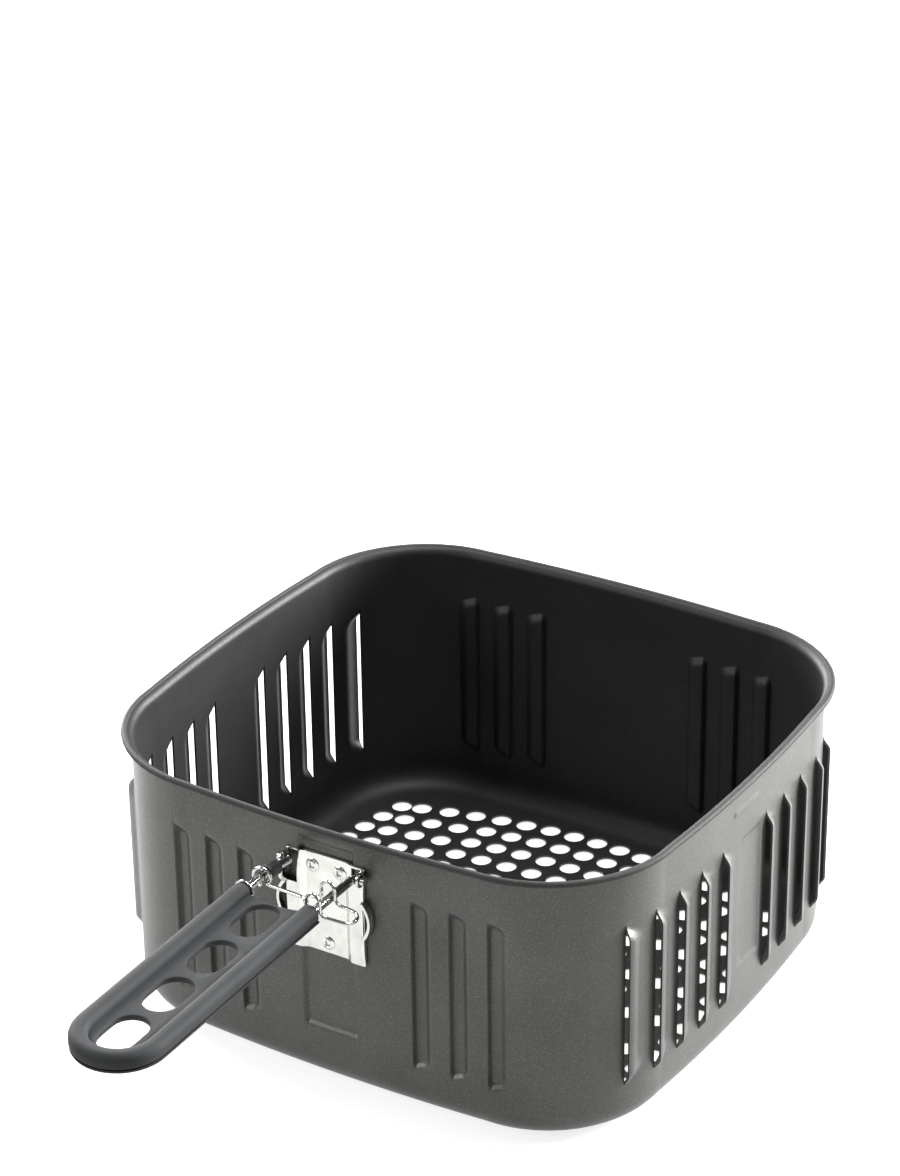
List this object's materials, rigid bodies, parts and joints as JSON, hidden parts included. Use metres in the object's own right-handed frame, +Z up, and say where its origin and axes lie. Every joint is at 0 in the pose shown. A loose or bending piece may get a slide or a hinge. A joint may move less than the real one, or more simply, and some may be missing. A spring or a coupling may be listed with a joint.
{
  "type": "air fryer basket",
  "caption": "Square perforated non-stick frying basket with louvred sides, a riveted bracket and a fold-up wire handle with a moulded grip.",
  "frame": {"origin": "centre of the basket's underside, on the surface it stands on", "axes": "+X to the right along the front wall, +Y to the back wall, +Z up; the handle points to -Y"},
  "size_m": [0.22, 0.341, 0.1054],
  "materials": {
    "nonstick": "satin charcoal non-stick coating on drawn steel",
    "plated_steel": "bright nickel plated pressed steel",
    "rivet_steel": "bright plated steel eyelet rivet",
    "chrome_wire": "polished chrome wire",
    "grip_plastic": "fine satin moulded plastic",
    "bush_rubber": "black rubber"
  },
  "bodies": {
    "basket": {"basket_shell": "nonstick", "handle_bracket": "plated_steel", "rivet_top_left": "rivet_steel", "rivet_top_right": "rivet_steel", "rivet_bottom": "rivet_steel"},
    "handle": {"handle_wire": "chrome_wire", "grip_body": "grip_plastic", "grip_cover": "grip_plastic", "rod_collar": "chrome_wire", "rod_bush": "bush_rubber"},
    "clip": {"latch_clip": "chrome_wire"}
  },
  "joints": [
    {"name": "handle_fold", "type": "hinge", "parent": "basket", "child": "handle", "pos_m": [0, -0.10445, 0.0896], "axis": [-1, 0, 0], "range_deg": [0, 40]},
    {"name": "clip_lift", "type": "hinge", "parent": "handle", "child": "clip", "pos_m": [-0.0137, -0.1204, 0.0908], "axis": [0, -1, 0], "range_deg": [0, 60]}
  ]
}
